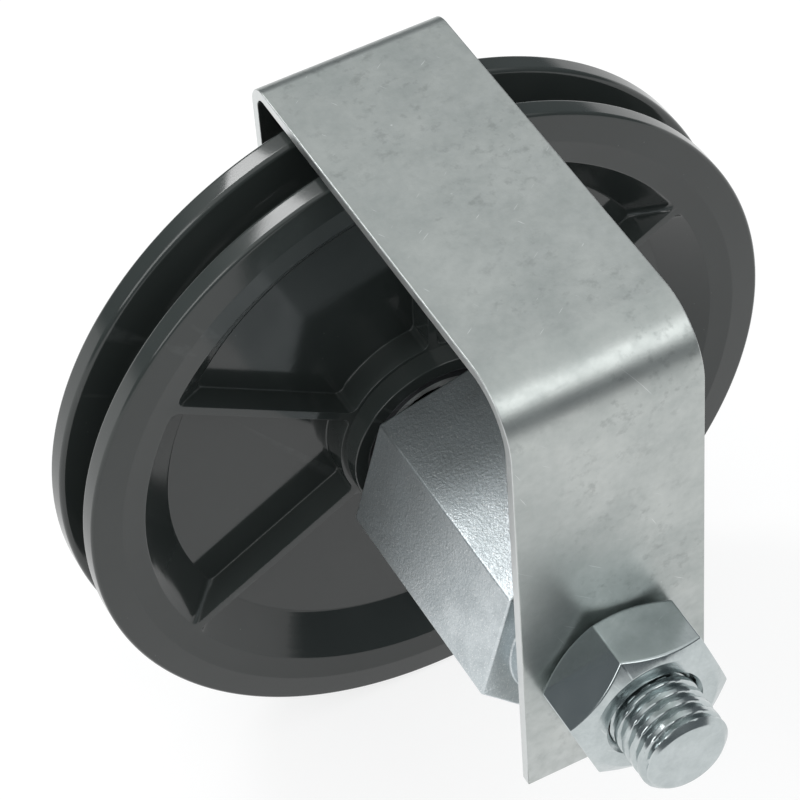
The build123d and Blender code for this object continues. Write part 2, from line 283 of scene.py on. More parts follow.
class Graph:
    """Short way to add nodes to a tree and join them."""

    def __init__(self, tree: bpy.types.NodeTree) -> None:
        """Keep the tree that the nodes go into."""
        self.tree = tree

    def add(self, kind: str, inputs: dict[str | int, Any] | None = None, **settings: Any) -> bpy.types.Node:
        """Add a shader node.

        Args:
            kind: The node's type without its ShaderNode prefix.
            inputs: Values or sockets by the input's name or number.
            **settings: Other settings of the node.

        Returns:
            The new node.
        """
        node = self.tree.nodes.new("ShaderNode" + kind)
        for key, value in settings.items():
            setattr(node, key, value)
        for key, value in (inputs or {}).items():
            self.feed(node.inputs[key], value)
        return node

    def feed(self, socket: Socket, value: Any) -> None:
        """Link a socket into an input, or set the input to a value."""
        if isinstance(value, Socket):
            self.tree.links.new(value, socket)
        elif isinstance(value, tuple) and len(value) == 3 and socket.type == "RGBA":
            socket.default_value = (*value, 1.0)
        else:
            socket.default_value = value

    def calc(self, operation: str, first: Any, second: Any = 0.0) -> Socket:
        """Return the result of a math node on one or two values."""
        return self.add("Math", {0: first, 1: second}, operation=operation).outputs[0]

    def span(self, value: Any, low: float, high: float, to: Point2 = (0.0, 1.0)) -> Socket:
        """Map a value from one range to another and clamp it.

        Args:
            value: The socket or number that is mapped.
            low: The value that gives the new range's start.
            high: The value that gives the new range's end.
            to: The new range.

        Returns:
            The mapped value's socket.
        """
        ends = {"Value": value, "From Min": low, "From Max": high, "To Min": to[0], "To Max": to[1]}
        return self.add("MapRange", ends).outputs[0]

    def blend(self, factor: Any, first: Any, second: Any) -> Socket:
        """Return the mix of two colours by a factor."""
        inputs = {MIX_FACTOR: factor, MIX_FIRST: first, MIX_SECOND: second}
        return self.add("Mix", inputs, data_type="RGBA").outputs[MIX_RESULT]

    def noise(self, place: Any, size: Any, detail: float = 2.0, roughness: float = 0.5) -> Socket:
        """Add a noise whose features have a size in millimetres.

        Args:
            place: The socket with the place in millimetres.
            size: The features' size, a socket or a number.
            detail: How many finer layers the noise has.
            roughness: How strong the finer layers are.

        Returns:
            The noise's value, around one half.
        """
        scale = self.calc("DIVIDE", 1.0, size) if isinstance(size, Socket) else 1.0 / size
        inputs = {"Vector": place, "Scale": scale, "Detail": detail, "Roughness": roughness}
        return self.add("TexNoise", inputs).outputs[0]

    def pattern(self, place: Any, look: Pattern, size: Any = None) -> Socket:
        """Add a pattern's noise and map its band.

        Args:
            place: The socket with the place in millimetres.
            look: The pattern.
            size: A socket or number that stands in for the pattern's own size.

        Returns:
            The mapped value's socket.
        """
        noise = self.noise(place, look.size if size is None else size, look.detail, look.roughness)
        return self.span(noise, look.band[0], look.band[1], look.to)

    def dots(self, place: Any, look: Dots) -> Socket:
        """Return 1 inside a dot and 0 between the dots."""
        cells = self.add("TexVoronoi", {"Vector": place, "Scale": look.per_mm})
        return self.span(cells.outputs["Distance"], look.edge[0], look.edge[1])

    def emboss(self, shader: bpy.types.Node, height_mm: Any) -> None:
        """Bend the shader's normal by a height in millimetres."""
        bump = self.add("Bump", {"Strength": 1.0, "Distance": MM, "Height": height_mm})
        self.feed(shader.inputs["Normal"], bump.outputs[0])

    def stretched(self, place: Any, first: Point3, second: Point3) -> Socket:
        """Lay a place out along two directions, whose lengths set how dense the pattern is along them."""
        along = self.add("VectorMath", {0: place, 1: first}, operation="DOT_PRODUCT").outputs["Value"]
        across = self.add("VectorMath", {0: place, 1: second}, operation="DOT_PRODUCT").outputs["Value"]
        return self.add("CombineXYZ", {0: along, 1: across}).outputs[0]


class EffectShelf:
    """Builds each shared effect's node group once and places it in materials."""

    INPUTS: dict[Effect, dict[str, float]] = {
        Effect.CLOUDS: {"Cloud Size": 12.0, "Grain Size": 0.8},
        Effect.PEEL: {"Bump Size": 0.7, "Sparkle": 0.5},
        Effect.SCUFFS: {"Amount": 0.5, "Stain Amount": 0.0},
        Effect.WEAR: {"Amount": 0.5},
        Effect.DUST: {"Amount": 0.3},
        Effect.RINGS: {"Pitch": 0.4},
    }
    OUTPUTS: dict[Effect, tuple[str, ...]] = {
        Effect.CLOUDS: ("Clouds", "Grain"),
        Effect.PEEL: ("Height", "Painted Glint"),
        Effect.SCUFFS: ("Mask", "Stain"),
        Effect.WEAR: ("Mask",),
        Effect.DUST: ("Mask",),
        Effect.RINGS: ("Height",),
    }
    WIDE_CLOUDS = Pattern(band=(0.34, 0.66), detail=4.0, roughness=0.6)
    FINE_GRAIN = Pattern(band=(0.3, 0.7), detail=3.0, roughness=0.6)
    BUMP_DETAIL = 3.0
    BUMP_ROUGHNESS = 0.55
    BUMP_SHARE = 0.7
    FINER_SIZE = 0.45
    FINER_DETAIL = 1.0
    FINER_SHARE = 0.3
    GLINT_BAND: Point2 = (0.6, 0.74)
    SCRATCHES: tuple[Scratch, ...] = (
        Scratch(along=(0.26, 0.16, 0.12), across=(-1.9, 2.6, -2.2), limit=0.76),
        Scratch(along=(0.14, -0.30, 0.24), across=(2.8, 1.4, 1.3), limit=0.77),
    )
    SPECKS = Dots(per_mm=0.28, edge=(0.05, 0.03))
    SPECK_PATCHES = Pattern(band=(0.55, 0.6), size=9.0)
    STAIN_BLOTS = Pattern(band=(0.54, 0.68), size=1.5, detail=4.0, roughness=0.65)
    STAIN_PATCHES = Pattern(band=(0.44, 0.6), size=15.0)
    EDGE_BAND: Point2 = (0.52, 0.6)
    EDGE_BREAKS = Pattern(band=(0.35, 0.6), size=1.6, detail=3.0, to=(0.35, 1.0))
    DUST_GRAINS = Dots(per_mm=0.8, edge=(0.09, 0.04))
    DUST_PATCHES = Pattern(band=(0.56, 0.62), size=6.0)
    DUST_HAZE = Pattern(band=(0.45, 0.75), size=17.0, detail=3.0, to=(0.0, 0.25))
    ROUND_THE_AXIS: Point3 = (1.0, 0.0, 1.0)

    def __init__(self) -> None:
        """Start with no group built."""
        self.groups: dict[Effect, bpy.types.NodeTree] = {}
        self.recipes: dict[Effect, Callable[[Graph, dict[str, Any]], dict[str, Any]]] = {
            Effect.CLOUDS: self.clouds,
            Effect.PEEL: self.peel,
            Effect.SCUFFS: self.scuffs,
            Effect.WEAR: self.wear,
            Effect.DUST: self.dust,
            Effect.RINGS: self.rings,
        }

    def group(self, effect: Effect) -> bpy.types.NodeTree:
        """Return the effect's group, building it the first time.

        Args:
            effect: The effect.

        Returns:
            Its node group, with a Place input in millimetres and the effect's own sockets.
        """
        if effect in self.groups:
            return self.groups[effect]
        tree = bpy.data.node_groups.new(effect.value, "ShaderNodeTree")
        tree.interface.new_socket("Place", in_out="INPUT", socket_type="NodeSocketVector")
        for name, value in self.INPUTS[effect].items():
            socket = tree.interface.new_socket(name, in_out="INPUT", socket_type="NodeSocketFloat")
            socket.default_value = value
        for name in self.OUTPUTS[effect]:
            tree.interface.new_socket(name, in_out="OUTPUT", socket_type="NodeSocketFloat")
        graph = Graph(tree)
        entry = tree.nodes.new("NodeGroupInput")
        given = {socket.name: socket for socket in entry.outputs if socket.name}
        result = self.recipes[effect](graph, given)
        leave = tree.nodes.new("NodeGroupOutput")
        for name, value in result.items():
            graph.feed(leave.inputs[name], value)
        self.groups[effect] = tree
        return tree

    def place(self, graph: Graph, effect: Effect, place: Any, **values: float) -> bpy.types.Node:
        """Place an effect in a material.

        Args:
            graph: The material's graph.
            effect: The effect.
            place: The socket with the place in millimetres.
            **values: The effect's own inputs, with underscores for spaces.

        Returns:
            The group node.
        """
        node = graph.tree.nodes.new("ShaderNodeGroup")
        node.node_tree = self.group(effect)
        graph.feed(node.inputs["Place"], place)
        for name, value in values.items():
            node.inputs[name.replace("_", " ").title()].default_value = value
        return node

    def clouds(self, graph: Graph, given: dict[str, Any]) -> dict[str, Any]:
        """Soft cloudy mottling and a fine grain over it."""
        return {
            "Clouds": graph.pattern(given["Place"], self.WIDE_CLOUDS, given["Cloud Size"]),
            "Grain": graph.pattern(given["Place"], self.FINE_GRAIN, given["Grain Size"]),
        }

    def peel(self, graph: Graph, given: dict[str, Any]) -> dict[str, Any]:
        """Orange-peel bumps, and a painted glint: a mask of the finer bumps' tops that lightens the colour.
        """
        bumps = graph.noise(given["Place"], given["Bump Size"], self.BUMP_DETAIL, self.BUMP_ROUGHNESS)
        finer_size = graph.calc("MULTIPLY", given["Bump Size"], self.FINER_SIZE)
        finer = graph.noise(given["Place"], finer_size, self.FINER_DETAIL)
        wide_part = graph.calc("MULTIPLY", bumps, self.BUMP_SHARE)
        finer_part = graph.calc("MULTIPLY", finer, self.FINER_SHARE)
        # Painted highlight: the tops of the finer bumps, scaled by Sparkle, lighten the colour as glints.
        tops = graph.span(finer, self.GLINT_BAND[0], self.GLINT_BAND[1])
        return {
            "Height": graph.calc("ADD", wide_part, finer_part),
            "Painted Glint": graph.calc("MULTIPLY", tops, given["Sparkle"]),
        }

    def scuffs(self, graph: Graph, given: dict[str, Any]) -> dict[str, Any]:
        """Short bright scratches in two directions, small specks, and patches of small dark stains."""
        lightened_parts: Any = 0.0
        for scratch in self.SCRATCHES:
            laid_out = graph.stretched(given["Place"], scratch.along, scratch.across)
            lines = graph.noise(laid_out, 1.0, 1.0)
            lines = graph.span(lines, scratch.limit, scratch.limit + scratch.fade)
            lightened_parts = graph.calc("MAXIMUM", lightened_parts, lines)
        dots = graph.dots(given["Place"], self.SPECKS)
        specks = graph.calc("MULTIPLY", dots, graph.pattern(given["Place"], self.SPECK_PATCHES))
        blots = graph.pattern(given["Place"], self.STAIN_BLOTS)
        stains = graph.calc("MULTIPLY", blots, graph.pattern(given["Place"], self.STAIN_PATCHES))
        return {
            "Mask": graph.calc("MULTIPLY", graph.calc("MAXIMUM", lightened_parts, specks), given["Amount"]),
            "Stain": graph.calc("MULTIPLY", stains, given["Stain Amount"]),
        }

    def wear(self, graph: Graph, given: dict[str, Any]) -> dict[str, Any]:
        """Edges that stand out, broken up by noise."""
        pointed = graph.add("NewGeometry").outputs["Pointiness"]
        edge = graph.span(pointed, self.EDGE_BAND[0], self.EDGE_BAND[1])
        broken = graph.calc("MULTIPLY", edge, graph.pattern(given["Place"], self.EDGE_BREAKS))
        return {"Mask": graph.calc("MULTIPLY", broken, given["Amount"])}

    def dust(self, graph: Graph, given: dict[str, Any]) -> dict[str, Any]:
        """Scattered grains of dust with a thin haze between them."""
        dots = graph.dots(given["Place"], self.DUST_GRAINS)
        grains = graph.calc("MULTIPLY", dots, graph.pattern(given["Place"], self.DUST_PATCHES))
        both = graph.calc("ADD", grains, graph.pattern(given["Place"], self.DUST_HAZE))
        return {"Mask": graph.calc("MULTIPLY", both, given["Amount"])}

    def rings(self, graph: Graph, given: dict[str, Any]) -> dict[str, Any]:
        """Fine rings about the spin axis, as a cutting tool or a turned mould leaves them."""
        flat = graph.add("VectorMath", {0: given["Place"], 1: self.ROUND_THE_AXIS}, operation="MULTIPLY")
        radius = graph.add("VectorMath", {0: flat.outputs[0]}, operation="LENGTH").outputs["Value"]
        turns = graph.calc("DIVIDE", radius, given["Pitch"])
        uneven = graph.add("TexNoise", {"W": turns, "Scale": 1.0, "Detail": 2.0}, noise_dimensions="1D")
        return {"Height": uneven.outputs[0]}


SHELF = EffectShelf()


def new_material(name: str) -> tuple[bpy.types.Material, Graph, bpy.types.Node, Socket]:
    """Start a material.

    Args:
        name: The material's name.

    Returns:
        The material, its graph, its Principled BSDF and the socket with the place in millimetres.
    """
    material = bpy.data.materials.new(name)
    material.use_nodes = True
    graph = Graph(material.node_tree)
    material.node_tree.nodes.clear()
    shader = graph.add("BsdfPrincipled")
    graph.add("OutputMaterial", {"Surface": shader.outputs[0]})
    metres = graph.add("TexCoord").outputs["Object"]
    place = graph.add("VectorMath", {0: metres, "Scale": 1.0 / MM}, operation="SCALE").outputs[0]
    return material, graph, shader, place


@dataclass(frozen=True)
class PlasticFinish:
    """Glossy moulded plastic."""

    name: str
    colour: Colour
    dust_colour: Colour
    gloss: Point2
    ior: float = 1.52
    dust: float = 0.35
    dust_roughness: float = 0.5
    wear: float = 0.25
    cloud_size: float = 14.0
    grain_size: float = 0.5
    ring_pitch: float = 0.55
    ring_depth_mm: float = 0.004
    wave_size: float = 16.0
    wave_depth_mm: float = 0.05

    def material(self) -> bpy.types.Material:
        """Build the finish's material."""
        material, graph, shader, place = new_material(self.name)
        sizes = {"cloud_size": self.cloud_size, "grain_size": self.grain_size}
        clouds = SHELF.place(graph, Effect.CLOUDS, place, **sizes).outputs["Clouds"]
        dust = SHELF.place(graph, Effect.DUST, place, amount=self.dust).outputs["Mask"]
        wear = SHELF.place(graph, Effect.WEAR, place, amount=self.wear).outputs["Mask"]
        rings = SHELF.place(graph, Effect.RINGS, place, pitch=self.ring_pitch).outputs["Height"]
        pale = graph.calc("MAXIMUM", dust, wear)
        graph.feed(shader.inputs["Base Color"], graph.blend(pale, self.colour, self.dust_colour))
        matt = graph.calc("MULTIPLY", dust, self.dust_roughness)
        rough = graph.calc("ADD", graph.span(clouds, 0.0, 1.0, self.gloss), matt)
        graph.feed(shader.inputs["Roughness"], rough)
        shader.inputs["IOR"].default_value = self.ior
        waves = graph.noise(place, self.wave_size, 1.0)
        deep = graph.calc("MULTIPLY", waves, self.wave_depth_mm)
        fine = graph.calc("MULTIPLY", rings, self.ring_depth_mm)
        graph.emboss(shader, graph.calc("ADD", deep, fine))
        return material


@dataclass(frozen=True)
class ZincFinish:
    """Zinc plate over steel, from matt sheet to bright fasteners, with painted glints on its grain and
    painted highlights on sheared edges.
    """

    name: str
    dark: Colour
    light: Colour
    bright: Colour
    roughness: Point2
    cloud_size: float
    grain_size: float
    peel_size: float
    peel_depth_mm: float
    sparkle: float = 0.0
    scuffs: float = 0.0
    stains: float = 0.0
    wear: float = 0.4
    painted_edge_highlight: bool = False
    cloud_share: float = 0.7
    grain_share: float = 0.3
    stain_share: float = 0.5
    edge_band: Point2 = (0.6, 0.9)
    edge_light: float = 0.75

    def material(self) -> bpy.types.Material:
        """Build the finish's material."""
        material, graph, shader, place = new_material(self.name)
        sizes = {"cloud_size": self.cloud_size, "grain_size": self.grain_size}
        clouds = SHELF.place(graph, Effect.CLOUDS, place, **sizes).outputs
        peel = SHELF.place(graph, Effect.PEEL, place, bump_size=self.peel_size, sparkle=self.sparkle)
        wear = SHELF.place(graph, Effect.WEAR, place, amount=self.wear).outputs["Mask"]
        amounts = {"amount": self.scuffs, "stain_amount": self.stains}
        scuffs = SHELF.place(graph, Effect.SCUFFS, place, **amounts).outputs
        cloud_part = graph.calc("MULTIPLY", clouds["Clouds"], self.cloud_share)
        grain_part = graph.calc("MULTIPLY", clouds["Grain"], self.grain_share)
        tone = graph.calc("ADD", cloud_part, grain_part)
        stained = tuple(self.stain_share * value for value in self.dark)
        colour = graph.blend(scuffs["Stain"], graph.blend(tone, self.dark, self.light), stained)
        # Real wear, scuffs and specks, together with the painted glints of the bumps, blend the colour
        # towards the bright colour.
        lightened_parts = graph.calc("MAXIMUM", wear, graph.calc("MAXIMUM", scuffs["Mask"], peel.outputs["Painted Glint"]))
        # Painted highlight: faces that point sideways, the sheared edges of the sheet, are made lighter in
        # the colour.
        if self.painted_edge_highlight:
            normal = graph.add("TexCoord").outputs["Normal"]
            across = graph.add("SeparateXYZ", {0: normal}).outputs[0]
            sideways = graph.calc("ABSOLUTE", across)
            edge = graph.span(sideways, self.edge_band[0], self.edge_band[1], (0.0, self.edge_light))
            lightened_parts = graph.calc("MAXIMUM", lightened_parts, edge)
        graph.feed(shader.inputs["Base Color"], graph.blend(lightened_parts, colour, self.bright))
        shader.inputs["Metallic"].default_value = 1.0
        graph.feed(shader.inputs["Roughness"], graph.span(tone, 0.0, 1.0, self.roughness))
        graph.emboss(shader, graph.calc("MULTIPLY", peel.outputs["Height"], self.peel_depth_mm))
        return material


@dataclass(frozen=True)
class SteelFinish:
    """Turned, ground or pressed bare steel."""

    name: str
    dark: Colour
    light: Colour
    roughness: Point2
    ring_pitch: float
    ring_depth_mm: float
    cloud_size: float = 5.0
    grain_size: float = 0.3

    def material(self) -> bpy.types.Material:
        """Build the finish's material."""
        material, graph, shader, place = new_material(self.name)
        sizes = {"cloud_size": self.cloud_size, "grain_size": self.grain_size}
        clouds = SHELF.place(graph, Effect.CLOUDS, place, **sizes).outputs["Clouds"]
        rings = SHELF.place(graph, Effect.RINGS, place, pitch=self.ring_pitch).outputs["Height"]
        graph.feed(shader.inputs["Base Color"], graph.blend(clouds, self.dark, self.light))
        graph.feed(shader.inputs["Roughness"], graph.span(clouds, 0.0, 1.0, self.roughness))
        shader.inputs["Metallic"].default_value = 1.0
        graph.emboss(shader, graph.calc("MULTIPLY", rings, self.ring_depth_mm))
        return material


FINISHES: dict[Slot, PlasticFinish | ZincFinish | SteelFinish] = {
    Slot.WHEEL_PLASTIC: PlasticFinish(
        name="black_moulded_plastic",
        colour=(0.039, 0.046, 0.044),
        dust_colour=(0.14, 0.15, 0.15),
        gloss=(0.07, 0.13),
    ),
    Slot.ZINC_SHEET: ZincFinish(
        name="matt_zinc_sheet",
        dark=(0.39, 0.42, 0.41),
        light=(0.495, 0.52, 0.505),
        bright=(0.74, 0.76, 0.76),
        roughness=(0.42, 0.3),
        cloud_size=8.0,
        grain_size=0.9,
        peel_size=0.5,
        peel_depth_mm=0.012,
        scuffs=0.7,
        stains=0.35,
        wear=0.6,
        painted_edge_highlight=True,
    ),
    Slot.ZINC_BAR: ZincFinish(
        name="grained_zinc_bar",
        dark=(0.52, 0.57, 0.59),
        light=(0.70, 0.75, 0.77),
        bright=(0.95, 0.96, 0.96),
        roughness=(0.46, 0.36),
        cloud_size=5.0,
        grain_size=0.45,
        peel_size=0.42,
        peel_depth_mm=0.055,
        sparkle=0.9,
        wear=0.6,
    ),
    Slot.ZINC_FASTENER: ZincFinish(
        name="bright_blue_zinc",
        dark=(0.43, 0.475, 0.48),
        light=(0.54, 0.585, 0.59),
        bright=(0.85, 0.87, 0.87),
        roughness=(0.24, 0.15),
        cloud_size=3.5,
        grain_size=0.5,
        peel_size=1.3,
        peel_depth_mm=0.004,
        scuffs=0.35,
        wear=0.3,
    ),
    Slot.SPRING_STEEL: SteelFinish(
        name="blackened_spring_steel",
        dark=(0.06, 0.06, 0.065),
        light=(0.11, 0.11, 0.115),
        roughness=(0.35, 0.5),
        ring_pitch=0.3,
        ring_depth_mm=0.004,
    ),
    Slot.BEARING_STEEL: SteelFinish(
        name="ground_bearing_steel",
        dark=(0.52, 0.52, 0.52),
        light=(0.64, 0.64, 0.64),
        roughness=(0.16, 0.24),
        ring_pitch=0.25,
        ring_depth_mm=0.003,
    ),
    Slot.SHIELD_STEEL: SteelFinish(
        name="pressed_shield_steel",
        dark=(0.4, 0.4, 0.39),
        light=(0.5, 0.5, 0.49),
        roughness=(0.3, 0.4),
        ring_pitch=0.6,
        ring_depth_mm=0.004,
    ),
}


class Workshop:
    """Gives every piece its finish, body and slot."""

    def __init__(self) -> None:
        """Start with no material built."""
        self.materials: dict[Slot, bpy.types.Material] = {}

    def material(self, slot: Slot) -> bpy.types.Material:
        """Return the slot's material, building it the first time."""
        if slot not in self.materials:
            self.materials[slot] = FINISHES[slot].material()
        return self.materials[slot]

    def finish(self, piece: bpy.types.Object, slot: Slot) -> None:
        """Put the slot's material on a piece."""
        if piece.material_slots:
            for holder in piece.material_slots:
                holder.material = self.material(slot)
        else:
            piece.data.materials.append(self.material(slot))

    def fit(self, piece: bpy.types.Object, body: Body, slot: Slot, node: str) -> None:
        """Dress a new mesh and let it stand for a node of the frame.

        Args:
            piece: The new mesh object.
            body: The body that it rides on.
            slot: The slot whose finish it takes.
            node: The node that it replaces.
        """
        self.finish(piece, slot)
        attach(piece, body.value)
        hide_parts(node)
        LOG.info("%s: %d faces in place of %s", piece.name, len(piece.data.polygons), node)

    def dress_node(self, node: str, slot: Slot) -> None:
        """Put a finish on a node of the frame that keeps its own mesh."""
        self.finish(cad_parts[node], slot)
        LOG.info("%s: keeps its solid, finished as %s", node, slot.value)


@dataclass(frozen=True)
class Hexagon:
    """Cross-section of a hexagon with softly rounded corners, turned by an angle in degrees."""

    across_flats: float
    turn: float
    corner: float

    def radius(self, angle: float) -> float:
        """Return the distance from the axis to the outline at an angle."""
        apothem = self.across_flats / 2
        local = (angle - radians(self.turn)) % SIDE_ANGLE
        off = min(local, SIDE_ANGLE - local)
        if off < self.bend():
            centre = (apothem - self.corner) / cos(HALF_SIDE)
            return centre * cos(off) + sqrt(self.corner**2 - (centre * sin(off)) ** 2)
        return apothem / cos(HALF_SIDE - off)

    def bend(self) -> float:
        """Return the angle between a corner and the end of its rounding."""
        apothem = self.across_flats / 2
        return HALF_SIDE - atan((apothem - self.corner) * tan(HALF_SIDE) / apothem)

    def angles(self, flat_steps: int = 16, corner_steps: int = 6) -> list[float]:
        """Place the mesh's columns, closer together at the corners.

        Args:
            flat_steps: Columns across each flat.
            corner_steps: Columns across each rounded corner.

        Returns:
            The columns' angles in order round the axis.
        """
        bend = self.bend()
        columns: list[float] = []
        for side in range(HEX_SIDES):
            corner = radians(self.turn) + side * SIDE_ANGLE
            columns += spread(corner - bend, corner + bend, corner_steps)[:-1]
            columns += spread(corner + bend, corner + SIDE_ANGLE - bend, flat_steps)[:-1]
        return columns


@dataclass(frozen=True)
class Bevel:
    """Cone that takes the corners off a hexagon's end, with softened edges."""

    face_r: float
    soft: float
    ease_in: float = 0.15
    ease_out: float = 0.15
    lean_deg: float = 30.0
    steps: tuple[Point2, ...] = ((1.5, 0.0), (0.4, 0.3), (0.0, 1.0), (0.0, 3.0))

    def rows(
        self, section: Hexagon, angles: Sequence[float], face: float, side: float
    ) -> list[list[Point3]]:
        """Return the rows of points from the end face over the bevel to the flats.

        Args:
            section: The hexagon.
            angles: Angles of the mesh's columns.
            face: The end face's place along the axis.
            side: 1 where the piece lies towards +Y of the face, and -1 where it lies the other way.

        Returns:
            The rows, the one on the face first.
        """
        slope = tan(radians(self.lean_deg))
        rows = [
            [polar(self.face_r - self.ease_in, a, face) for a in angles],
            [polar(self.face_r + self.ease_out, a, face + side * self.ease_out * slope) for a in angles],
        ]
        for inset_share, drop in self.steps:
            inset = self.soft * inset_share
            row = []
            for angle in angles:
                corner = section.radius(angle)
                crease = face + side * (corner - self.face_r - inset) * slope
                row.append(polar(corner - inset, angle, crease + side * drop * self.soft))
            rows.append(row)
        return rows


@dataclass(frozen=True)
class Thread:
    """Right-hand metric thread about the spin axis."""

    crest_r: float = 5.88
    depth: float = 0.85
    pitch: float = 1.75
    rows_per_turn: int = 14
    root_share: float = 0.06
    flank_share: float = 0.52
    straight_share: float = 0.55
    curved_share: float = 0.45

    def radius(self, angle: float, along: float) -> float:
        """Return the thread's radius at an angle and a place along the axis."""
        phase = (along / self.pitch - angle / (2 * pi)) % 1.0
        rise = min(max((abs(2 * phase - 1) - self.root_share) / self.flank_share, 0.0), 1.0)
        soft = rise * rise * (3 - 2 * rise)
        deep = 1 - self.straight_share * rise - self.curved_share * soft
        return self.crest_r - self.depth * deep


@dataclass
class Wheel:
    """Moulded wheel with a rope groove, pockets on both faces and a hub."""

    radius: float = 48.0
    rim_half: float = 6.2
    ridge_r: float = 44.0
    ridge_h: float = 0.3
    land_r: float = 41.4
    pocket_r: float = 40.8
    floor_r: float = 35.8
    floor_y: float = 2.2
    rib_half: float = 0.6
    rib_turn: float = 1.9
    rib_count: int = 6
    corner_r: float = 1.0
    mouth_round: float = 0.08
    mouth_lean: float = 0.8
    floor_round: float = 0.2
    floor_lean: float = 0.55
    floor_corner: float = 0.7
    ridge_round: float = 1.2
    edge_back: float = 0.043
    edge_round: float = 0.55
    groove_edge_round: float = 0.7
    groove_root_r: float = 2.6
    groove_seat_r: float = 41.6
    groove_mouth: float = 3.05
    hub_r: float = 13.0
    hub_wall_r: float = 13.5
    hub_near: float = -9.1
    hub_far: float = 8.5
    bearing_r: float = 11.0
    bearing_end: float = 7.0
    lip_r: float = 9.5
    clip_seat_r: float = 11.5
    clip_seat_near: float = -8.1
    near_edge_round: float = 0.2
    bore_edge_round: float = 0.15
    lip_edge_round: float = 0.3
    far_edge_round: float = 0.5
    sharp_deg: float = 35.0
    steps: dict[str, int] = field(
        default_factory=lambda: {
            "hub_arc": 29,
            "hub_corner": 7,
            "rib": 12,
            "rim_corner": 3,
            "rim_arc": 33,
            "mouth": 3,
            "wall": 3,
            "floor": 5,
            "groove_root": 14,
        }
    )

    def middle(self, sector: int) -> float:
        """Return the angle of a pocket's middle."""
        return radians(self.rib_turn) + (sector + 0.5) * 2 * pi / self.rib_count

    def half_cell(self) -> list[Point2]:
        """Return half the outline of the cell round a pocket, from rib to rib, in the pocket's own axes."""
        half = pi / self.rib_count
        inner = self.steps["hub_arc"] + self.steps["hub_corner"]
        outer = self.steps["rim_corner"] + self.steps["rim_arc"]
        arc = [(self.hub_r * cos(a), self.hub_r * sin(a)) for a in spread(0.0, -half, inner)]
        side = [(r * cos(half), -r * sin(half)) for r in spread(self.hub_r, self.land_r, self.steps["rib"])]
        rim = [(self.land_r * cos(a), self.land_r * sin(a)) for a in spread(-half, 0.0, outer)]
        return arc + side[1:] + rim[1:]

    def half_pocket(self, rib: float, inner: float, outer: float, corner: float) -> list[Point2]:
        """Draw half the outline of a pocket at one depth, in the pocket's own axes.

        Args:
            rib: Half the rib's thickness there.
            inner: Radius of the wall at the hub.
            outer: Radius of the wall at the rim.
            corner: Rounding of the corners.

        Returns:
            Points from the hub wall's middle along the rib to the rim wall's middle.
        """
        half = pi / self.rib_count
        off = rib + corner
        near = sqrt((inner + corner) ** 2 - off**2)
        far = sqrt((outer - corner) ** 2 - off**2)
        lean_in = atan2(off, near)
        lean_out = atan2(off, far)

        def turned(along: float, across: float) -> Point2:
            """Turn a point from the rib's axes into the pocket's."""
            return (along * cos(half) + across * sin(half), across * cos(half) - along * sin(half))

        hub_arc = spread(0.0, lean_in - half, self.steps["hub_arc"])
        points = [(inner * cos(a), inner * sin(a)) for a in hub_arc]
        for angle in spread(pi + lean_in, 1.5 * pi, self.steps["hub_corner"])[1:]:
            points.append(turned(near + corner * cos(angle), off + corner * sin(angle)))
        for along in spread(near, far, self.steps["rib"])[1:]:
            points.append(turned(along, rib))
        for angle in spread(-pi / 2, lean_out, self.steps["rim_corner"])[1:]:
            points.append(turned(far + corner * cos(angle), off + corner * sin(angle)))
        for angle in spread(lean_out - half, 0.0, self.steps["rim_arc"])[1:]:
            points.append((outer * cos(angle), outer * sin(angle)))
        return points

    def wall_r(self, depth: float) -> float:
        """Return the radius of the sloping wall at a distance from the wheel's middle plane."""
        share = (depth - self.floor_y) / (self.rim_half - self.floor_y)
        return self.floor_r + (self.pocket_r - self.floor_r) * share

    def pocket_levels(self) -> list[tuple[float, list[Point2]]]:
        """Return half the outline of a pocket at each depth, from its mouth to its floor."""
        levels: list[tuple[float, list[Point2]]] = []

        def level(depth: float, grown: float, wall_out: float, corner: float) -> None:
            """Add the outline at one depth, with the pocket grown by a length at its ribs and hub."""
            wall = self.wall_r(depth) + wall_out
            half = self.half_pocket(self.rib_half - grown, self.hub_wall_r - grown, wall, corner)
            levels.append((depth, half))

        for angle in spread(0.0, pi / 2, self.steps["mouth"]):
            out = self.mouth_round * (1 - sin(angle))
            depth = self.rim_half - self.mouth_round * (1 - cos(angle))
            level(depth, out, out * self.mouth_lean, self.corner_r + out)
        straight = self.rim_half - self.mouth_round
        for depth in spread(straight, self.floor_y + self.floor_round, self.steps["wall"])[1:-1]:
            level(depth, 0.0, 0.0, self.corner_r)
        for angle in spread(0.0, pi / 2, self.steps["floor"]):
            inset = self.floor_round * (1 - cos(angle))
            depth = self.floor_y + self.floor_round * (1 - sin(angle))
            level(depth, -inset, -inset * self.floor_lean, self.corner_r - inset * self.floor_corner)
        return levels

    def loop(self, draft: Draft, half: Sequence[Point2], along: float, sector: int) -> list[int]:
        """Add the whole ring of a half outline.

        Args:
            draft: The mesh that takes the ring.
            half: Half the outline in the pocket's own axes.
            along: The ring's place along the spin axis.
            sector: Which pocket it belongs to.

        Returns:
            The ring's point numbers.
        """
        whole = list(half) + [(u, -v) for u, v in reversed(half[1:-1])]
        middle = self.middle(sector)
        return draft.ring([polar(hypot(u, v), middle + atan2(v, u), along) for u, v in whole])

    def rim_profile(self) -> list[Point2]:
        """Return the rim's outline from the near face, through the groove, to the far face."""
        near = round_path(
            [
                (self.land_r, -self.rim_half, 0.0),
                (self.ridge_r, -self.rim_half - self.ridge_h, self.ridge_round),
                (self.radius, -self.rim_half + self.edge_back, self.edge_round),
                (self.radius, -self.groove_mouth, self.groove_edge_round),
                (self.groove_seat_r, -self.groove_root_r, 0.0),
            ]
        )
        root = [
            (self.groove_seat_r - self.groove_root_r * cos(a), self.groove_root_r * sin(a))
            for a in spread(-pi / 2, pi / 2, self.steps["groove_root"])[1:-1]
        ]
        return near + root + [(r, -y) for r, y in reversed(near)]

